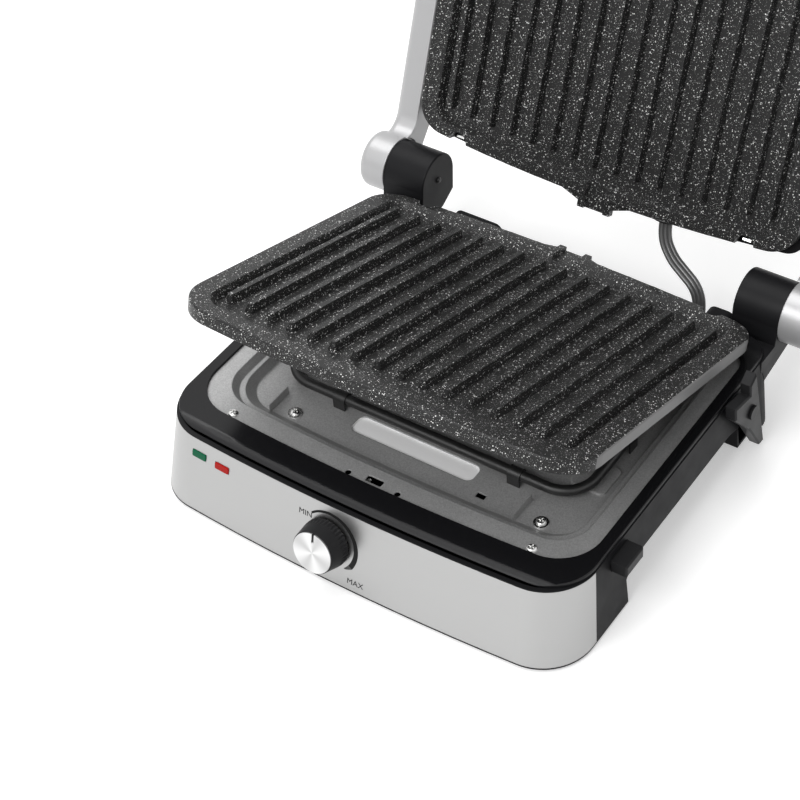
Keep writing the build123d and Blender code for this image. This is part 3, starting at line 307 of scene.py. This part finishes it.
# Dish screws: zinc-plated pan heads with a cross slot, in the lower dish four through the flange and two
# with a washer on the floor. Only the heads show, so no shank is made. Those of the upper dish are
# under its plate, so they keep the CAD's plain heads.
screw_tree = bpy.data.node_groups.new("cross_head_screws", "GeometryNodeTree")
screw_tree.interface.new_socket("Seats", in_out="INPUT", socket_type="NodeSocketGeometry")
screw_tree.interface.new_socket("Screws", in_out="OUTPUT", socket_type="NodeSocketGeometry")
screw_inputs = {}
for label in ("Head Radius", "Head Height", "Slot Width", "Slot Depth", "Washer Radius", "Washer Sheet"):
    socket = screw_tree.interface.new_socket(label, in_out="INPUT", socket_type="NodeSocketFloat")
    screw_inputs[label] = socket.identifier
socket = screw_tree.interface.new_socket("Metal", in_out="INPUT", socket_type="NodeSocketMaterial")
screw_inputs["Metal"] = socket.identifier

given = screw_tree.nodes.new("NodeGroupInput")
made = screw_tree.nodes.new("NodeGroupOutput")
join = screw_tree.links.new


def screw_vector(x, y, z):
    """Vector of three sockets or numbers."""
    node = screw_tree.nodes.new("ShaderNodeCombineXYZ")
    for axis, value in zip("XYZ", (x, y, z)):
        if isinstance(value, (int, float)):
            node.inputs[axis].default_value = value
        else:
            join(value, node.inputs[axis])
    return node.outputs["Vector"]


def screw_moved(mesh, shift, scale=None):
    """A mesh moved by a vector and, where one is given, stretched by another."""
    node = screw_tree.nodes.new("GeometryNodeTransform")
    join(mesh, node.inputs["Geometry"])
    join(shift, node.inputs["Translation"])
    if scale is not None:
        join(scale, node.inputs["Scale"])
    return node.outputs["Geometry"]


head = screw_tree.nodes.new("GeometryNodeMeshUVSphere")
head.inputs["Segments"].default_value = 24
head.inputs["Rings"].default_value = 12
join(given.outputs["Head Radius"], head.inputs["Radius"])
flatten = calculated(screw_tree, "DIVIDE", given.outputs["Head Height"], given.outputs["Head Radius"])
head_seat = screw_vector(0, 0, given.outputs["Washer Sheet"])
domed = screw_moved(head.outputs["Mesh"], head_seat, screw_vector(1, 1, flatten))

slot_share = 1.25
cut = screw_tree.nodes.new("GeometryNodeMeshBoolean")
cut.operation = "DIFFERENCE"
join(domed, cut.inputs["Mesh 1"])
head_top = calculated(screw_tree, "ADD", given.outputs["Head Height"], given.outputs["Washer Sheet"])
slot_length = calculated(screw_tree, "MULTIPLY", given.outputs["Head Radius"], slot_share)
slot_height = calculated(screw_tree, "MULTIPLY", given.outputs["Slot Depth"], 2.0)
slot_width = given.outputs["Slot Width"]
for across, along in ((slot_width, slot_length), (slot_length, slot_width)):
    slot = screw_tree.nodes.new("GeometryNodeMeshCube")
    join(screw_vector(across, along, slot_height), slot.inputs["Size"])
    join(screw_moved(slot.outputs["Mesh"], screw_vector(0, 0, head_top)), cut.inputs["Mesh 2"])

washer = screw_tree.nodes.new("GeometryNodeMeshCylinder")
washer.inputs["Vertices"].default_value = 32
join(given.outputs["Washer Radius"], washer.inputs["Radius"])
join(given.outputs["Washer Sheet"], washer.inputs["Depth"])
half_sheet = calculated(screw_tree, "MULTIPLY", given.outputs["Washer Sheet"], 0.5)
whole = screw_tree.nodes.new("GeometryNodeJoinGeometry")
join(cut.outputs["Mesh"], whole.inputs["Geometry"])
join(screw_moved(washer.outputs["Mesh"], screw_vector(0, 0, half_sheet)), whole.inputs["Geometry"])

spread_out = screw_tree.nodes.new("GeometryNodeInstanceOnPoints")
realised = screw_tree.nodes.new("GeometryNodeRealizeInstances")
plated = screw_tree.nodes.new("GeometryNodeSetMaterial")
join(given.outputs["Seats"], spread_out.inputs["Points"])
join(whole.outputs["Geometry"], spread_out.inputs["Instance"])
join(spread_out.outputs["Instances"], realised.inputs["Geometry"])
join(realised.outputs["Geometry"], plated.inputs["Geometry"])
join(given.outputs["Metal"], plated.inputs["Material"])
join(plated.outputs["Geometry"], made.inputs["Screws"])


def cross_head_screws(name, seats, sizes, node):
    """Screw heads on the base at their seats, in place of a CAD node's plain ones."""
    seat_mesh = bpy.data.meshes.new(name + "_seats")
    seat_mesh.from_pydata(seats, [], [])
    holder = bpy.data.objects.new(name + "_seats", seat_mesh)
    bpy.context.scene.collection.objects.link(holder)
    modifier = holder.modifiers.new("screws", "NODES")
    modifier.node_group = screw_tree
    for label, value in sizes.items():
        modifier[screw_inputs[label]] = value
    modifier[screw_inputs["Metal"]] = bright_steel
    bpy.context.view_layer.update()
    heads = bpy.data.meshes.new_from_object(holder.evaluated_get(bpy.context.evaluated_depsgraph_get()))
    bpy.data.objects.remove(holder)
    piece = bpy.data.objects.new(name, heads)
    bpy.context.scene.collection.objects.link(piece)
    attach(piece, "base")
    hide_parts(node)


flange_top = 0.058
flange_screw_x = 0.1124
flange_screw_rows = (-0.1073, 0.097)
flange_sizes = {
    "Head Radius": 0.0034,
    "Head Height": 0.0018,
    "Slot Width": 0.0009,
    "Slot Depth": 0.0011,
    "Washer Radius": 0.0036,
    "Washer Sheet": 0.0002,
}
flange_seats = [(side * flange_screw_x, y, flange_top) for side in (-1, 1) for y in flange_screw_rows]
cross_head_screws("flange_screw_heads", flange_seats, flange_sizes, "tray_screws")

dish_floor = 0.045
floor_screw_columns = (-0.087, 0.100)
floor_screw_y = -0.077
floor_sizes = {**flange_sizes, "Washer Radius": 0.005, "Washer Sheet": 0.0008}
floor_seats = [(x, floor_screw_y, dish_floor) for x in floor_screw_columns]
cross_head_screws("floor_screw_heads", floor_seats, floor_sizes, "tray_post_screws")
coat(bright_steel, "upper_tray_screws")


# Thermostat and knob: a control in a black body behind the band, with a steel shaft through it. The knob
# is a fluted black moulding pushed on the shaft, and a cap of spun aluminium with a printed pointer is
# let into its face.
knob_black = moulded_plastic("knob_black", (0.02, 0.02, 0.021), roughness=0.42)
coat(knob_black, "thermostat_knob")
coat(bright_steel, "thermostat_shaft")
coat(housing_black, "thermostat")

cap_centre = (-0.0122, -0.1636, 0.0351)
# Painted highlights: the cap's colour runs between these two levels in wedges round its centre.
cap_painted_shade = 0.52
cap_painted_highlight = 0.74
wedges_round = 4.0
pointer_black = grey(0.03)
pointer_half_width = 0.00085
pointer_start = 0.0066
spun_cap, tree, shader = new_finish("spun_cap", grey(cap_painted_highlight), roughness=0.3, metallic=0.8)
place = add_node(tree, "ShaderNodeTexCoord")
centred = add_node(tree, "ShaderNodeVectorMath", operation="SUBTRACT")
centred.inputs[1].default_value = cap_centre
upright = add_node(tree, "ShaderNodeVectorRotate", rotation_type="X_AXIS", Angle=-band_lean)
on_face = add_node(tree, "ShaderNodeSeparateXYZ")
tree.links.new(place.outputs["Object"], centred.inputs[0])
tree.links.new(centred.outputs["Vector"], upright.inputs["Vector"])
tree.links.new(upright.outputs["Vector"], on_face.inputs["Vector"])
face_across = on_face.outputs["X"]
face_up = on_face.outputs["Z"]
narrow = calculated(tree, "LESS_THAN", calculated(tree, "ABSOLUTE", face_across), pointer_half_width)
far_up = calculated(tree, "GREATER_THAN", face_up, pointer_start)
pointer = calculated(tree, "MULTIPLY", narrow, far_up)
# Painted highlights: four lighter and four darker wedges round the cap's centre stand in for the glints of
# spun aluminium.
turn = calculated(tree, "ARCTAN2", face_up, face_across)
fan = calculated(tree, "SINE", calculated(tree, "MULTIPLY", turn, wedges_round))
wedges = spread(tree, fan, low=cap_painted_shade, high=cap_painted_highlight, start=-1.0, end=1.0)
tree.links.new(mixed(tree, pointer, wedges, pointer_black), shader.inputs["Base Color"])
coat(spun_cap, "knob_cap")


# Signal lamps: two tinted plastic lenses, one green and one red, pushed through the band from behind
# and held in black sockets.
def lens_finish(name, colour):
    """Smooth tinted plastic with a slightly wavy face."""
    material, tree, shader = new_finish(name, colour, roughness=0.18, specular=0.12)
    grain_and_edges(tree, shader, noise_on(tree, scale=500), depth=0.00002, edge=0.0004)
    return material


coat(lens_finish("green_lens", (0.002, 0.10, 0.045)), "green_lamp_lens")
coat(lens_finish("red_lens", (0.36, 0.008, 0.005)), "red_lamp_lens")
coat(housing_black, "lamp_holders")


# Terminal block: the white ceramic connector inside the base, where the wires of the heater, the
# thermostat and the lid meet. It is pressed, fired and left unglazed.
ceramic_white = moulded_plastic("ceramic_white", (0.74, 0.72, 0.68), roughness=0.6)
coat(ceramic_white, "terminal_block")


# Buttons and height lever: the plates' two releases and the lever on the right side with its pin, all
# black mouldings a shade smoother than the housing and worn to a soft gloss by fingers.
button_black = moulded_plastic("button_black", (0.018, 0.018, 0.019), roughness=0.36)
coat(button_black, "release_button", "lid_release_slide", "height_lever", "lever_pin")


# Hinge towers: thick black mouldings on the back of the housing, each with a round knuckle that an arm's
# cap turns on. A bright steel pin goes through, and a dark screw sits in each knuckle's inner end.
knuckle_black = moulded_plastic("knuckle_black", (0.009, 0.009, 0.01), roughness=0.42)
coat(knuckle_black, "left_hinge_tower", "right_hinge_tower")
coat(bright_steel, "left_hinge_pin", "right_hinge_pin")
coat(heater_sheath, "knuckle_screws")


# Drip cup: a black moulded cup that pulls out of the back of the base, under the lower plate's spout.
# It is as smooth as the towers beside it.
coat(knuckle_black, "drip_tray")


# Arms and handle: die-cast arms painted silver, joined at their ends by a brushed steel tube with a
# moulded grip. The lid hangs between them on two bright steel pivots.
arm_silver, tree, shader = new_finish("arm_silver", (0.45, 0.45, 0.455), roughness=0.38, metallic=0.4)
flake = noise_on(tree, scale=2500)
tree.links.new(spread(tree, flake, low=0.28, high=0.42), shader.inputs["Roughness"])
grain_and_edges(tree, shader, flake, depth=0.000004, edge=0.0012)
coat(arm_silver, "left_arm", "right_arm")
coat(band_steel, "handle_tube")
coat(housing_black, "handle_grip")
coat(bright_steel, "lid_pivots")


# Lid: a cover pressed from the same brushed steel as the band, on a black moulded frame that carries
# the upper dish.
coat(band_steel, "lid_cover")
coat(housing_black, "lid_frame")


# Cooking plates: die-cast aluminium with a black non-stick coating that is sprinkled with pale flecks,
# so that it looks like granite. Their side walls are masked off and stay plain grey.
stone_black = grey(0.014)
fleck_white = (0.95, 0.95, 0.94)
wall_grey = grey(0.16)
wall_from = 0.1464
plate_stone, tree, shader = new_finish("plate_stone", stone_black, roughness=0.36, specular=0.26)
place = add_node(tree, "ShaderNodeTexCoord")


def flecks(scale, size, share, low, high):
    """Irregular specks from a low to a high brightness, of which only a share of the cells holds one."""
    warp = add_node(tree, "ShaderNodeTexNoise", Scale=scale * 2.1, Detail=2.0)
    warp_reach = 0.12 / scale
    bend = add_node(tree, "ShaderNodeVectorMath", operation="MULTIPLY_ADD")
    bend.inputs[1].default_value = (warp_reach, warp_reach, warp_reach)
    cells = add_node(tree, "ShaderNodeTexVoronoi", Scale=scale)
    chance = add_node(tree, "ShaderNodeSeparateColor")
    tree.links.new(place.outputs["Object"], warp.inputs["Vector"])
    tree.links.new(warp.outputs["Color"], bend.inputs[0])
    tree.links.new(place.outputs["Object"], bend.inputs[2])
    tree.links.new(bend.outputs["Vector"], cells.inputs["Vector"])
    tree.links.new(cells.outputs["Color"], chance.inputs["Color"])
    reach = spread(tree, chance.outputs["Red"], low=0.0, high=size, start=1 - share, end=1.0)
    inside = calculated(tree, "LESS_THAN", cells.outputs["Distance"], reach)
    shine = spread(tree, chance.outputs["Green"], low=low, high=high, start=0.0, end=1.0)
    return calculated(tree, "MULTIPLY", inside, shine)


large = flecks(scale=950, size=0.44, share=0.3, low=0.6, high=1.0)
small = flecks(scale=1900, size=0.46, share=0.34, low=0.15, high=0.6)
stone = mixed(tree, calculated(tree, "MAXIMUM", large, small), stone_black, fleck_white)
from_middle = calculated(tree, "ABSOLUTE", object_axis(tree, "X"))
on_wall = calculated(tree, "GREATER_THAN", from_middle, wall_from)
tree.links.new(mixed(tree, on_wall, stone, wall_grey), shader.inputs["Base Color"])
grain_and_edges(tree, shader, noise_on(tree, scale=1100), depth=0.00002, edge=0.0004)
coat(plate_stone, "lower_plate", "upper_plate")


# Lead to the lid: three heat-proof cores in one flat grey sheath, which leaves the base through a
# rubber gland and bends up into another in the lid. It is extruded, so it has the same ridges all along.
lead_grey, tree, shader = new_finish("lead_grey", grey(0.09), roughness=0.15, specular=0.8)
tree.links.new(spread(tree, noise_on(tree, scale=90), low=0.12, high=0.18), shader.inputs["Roughness"])
lead_route = [
    (0.047, 0.17155, 0.08688),
    (0.047, 0.16662, 0.07486),
    (0.0575, 0.1605, 0.0632),
    (0.068, 0.158, 0.0568),
    (0.0787, 0.155, 0.0512),
    (0.0848, 0.151, 0.0427),
    (0.0873, 0.144, 0.0325),
    (0.088, 0.135, 0.027),
    (0.088, 0.122, 0.027),
]
route_curve = bpy.data.curves.new("lead_route", "CURVE")
route_curve.dimensions = "3D"
route_curve.resolution_u = 10
route = route_curve.splines.new("NURBS")
route.points.add(len(lead_route) - 1)
for point, spot in zip(route.points, lead_route):
    point.co = (*spot, 1)
route.order_u = 3
route.use_endpoint_u = True
route_line = bpy.data.objects.new("lead_route", route_curve)
bpy.context.scene.collection.objects.link(route_line)
bpy.context.view_layer.update()
line = bpy.data.meshes.new_from_object(route_line.evaluated_get(bpy.context.evaluated_depsgraph_get()))
lead_path = [vertex.co.copy() for vertex in line.vertices]
bpy.data.objects.remove(route_line)

core_radius = 0.0018
core_pitch = 0.0031
side_steps = 14
top_steps = 7
crease = math.degrees(math.acos(core_pitch / 2 / core_radius))
section = []
for middle, start, end, steps in (
    (core_pitch, crease - 180, 180 - crease, side_steps),
    (0, crease, 180 - crease, top_steps),
    (-core_pitch, crease, 360 - crease, side_steps),
    (0, 180 + crease, 360 - crease, top_steps),
):
    for index in range(steps):
        turn = math.radians(start + (end - start) * index / steps)
        section.append((middle + core_radius * math.cos(turn), core_radius * math.sin(turn)))

across = Vector((1, 0, 0))
points = []
heading = (lead_path[1] - lead_path[0]).normalized()
for index, spot in enumerate(lead_path):
    before = lead_path[max(index - 1, 0)]
    after = lead_path[min(index + 1, len(lead_path) - 1)]
    new_heading = (after - before).normalized()
    across.rotate(heading.rotation_difference(new_heading))
    heading = new_heading
    up = heading.cross(across)
    points += [spot + across * side + up * rise for side, rise in section]
count = len(section)
faces = []
for ring in range(len(lead_path) - 1):
    low = ring * count
    for index in range(count):
        following = (index + 1) % count
        faces.append((low + index, low + following, low + count + following, low + count + index))
faces.append(tuple(reversed(range(count))))
faces.append(tuple(range(len(points) - count, len(points))))
lead_mesh = bpy.data.meshes.new("lid_lead_sheath")
lead_mesh.from_pydata(points, [], faces)
lead_mesh.materials.append(lead_grey)
crease_limit = math.radians(40)
lead_mesh.polygons.foreach_set("use_smooth", [len(face) == 4 for face in faces])
lead_mesh.set_sharp_from_angle(angle=crease_limit)
lead_piece = bpy.data.objects.new("lid_lead_sheath", lead_mesh)
bpy.context.scene.collection.objects.link(lead_piece)
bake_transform(lead_piece)
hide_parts("lid_lead")
coat(foot_rubber, "base_lead_gland", "lid_lead_gland")


# Stage: a plain white floor with a faint sheen under a white sky and two soft studio lamps, seen from
# above the front right corner.
def seen_directly(tree):
    """1 for a ray from the camera, a glossy surface or glass, and 0 for light that falls on things."""
    rays = add_node(tree, "ShaderNodeLightPath")
    seen = calculated(tree, "MAXIMUM", rays.outputs["Is Camera Ray"], rays.outputs["Is Glossy Ray"])
    return calculated(tree, "MAXIMUM", seen, rays.outputs["Is Transmission Ray"])


floor_half = 6.0
floor_glow = 0.40
floor_corners = [(-1, -1), (1, -1), (1, 1), (-1, 1)]
floor_mesh = bpy.data.meshes.new("floor")
floor_mesh.from_pydata([(x * floor_half, y * floor_half, 0) for x, y in floor_corners], [], [(0, 1, 2, 3)])
floor = bpy.data.objects.new("floor", floor_mesh)
bpy.context.scene.collection.objects.link(floor)
floor_white, tree, shader = new_finish("floor_white", grey(0.82), roughness=0.28)
shader.inputs["Emission Color"].default_value = (1, 1, 1, 1)
glow = calculated(tree, "MULTIPLY", seen_directly(tree), floor_glow)
tree.links.new(glow, shader.inputs["Emission Strength"])
floor_mesh.materials.append(floor_white)

sky_light = 0.5
world = bpy.data.worlds.new("studio")
bpy.context.scene.world = world
world.use_nodes = True
tree = world.node_tree
background = tree.nodes["Background"]
background.inputs["Color"].default_value = (1, 1, 1, 1)
sky = spread(tree, seen_directly(tree), low=sky_light, high=1.0, start=0.0, end=1.0)
tree.links.new(sky, background.inputs["Strength"])

lamp_target = Vector((0, 0, 0.05))


def softbox(name, place, size, power):
    """Square studio lamp that faces the grill."""
    lamp = bpy.data.lights.new(name, "AREA")
    lamp.size = size
    lamp.energy = power
    holder = bpy.data.objects.new(name, lamp)
    holder.location = place
    holder.rotation_mode = "QUATERNION"
    holder.rotation_quaternion = (lamp_target - Vector(place)).to_track_quat("-Z", "Y")
    bpy.context.scene.collection.objects.link(holder)


softbox("key_light", place=(-0.6, 0.3, 1.8), size=1.4, power=18)
softbox("front_light", place=(-0.1, -1.3, 1.35), size=1.0, power=17)

camera_place = Vector((0.5689, -0.7947, 0.9872))
camera_ahead = Vector((-0.4264, 0.5751, -0.6982))
camera_roll = math.radians(4.27)
image_side = 800
focal_pixels = 2086.2
principal_point = (448.6, 403.0)

lens = bpy.data.cameras.new("camera")
lens.sensor_width = 36
lens.lens = lens.sensor_width * focal_pixels / image_side
lens.shift_x = (image_side / 2 - principal_point[0]) / image_side
lens.shift_y = (principal_point[1] - image_side / 2) / image_side
camera = bpy.data.objects.new("camera", lens)
camera.location = camera_place
camera.rotation_mode = "QUATERNION"
aim = camera_ahead.to_track_quat("-Z", "Y")
camera.rotation_quaternion = Quaternion(camera_ahead, camera_roll) @ aim
bpy.context.scene.collection.objects.link(camera)
bpy.context.scene.camera = camera
bpy.context.scene.view_settings.view_transform = "Standard"
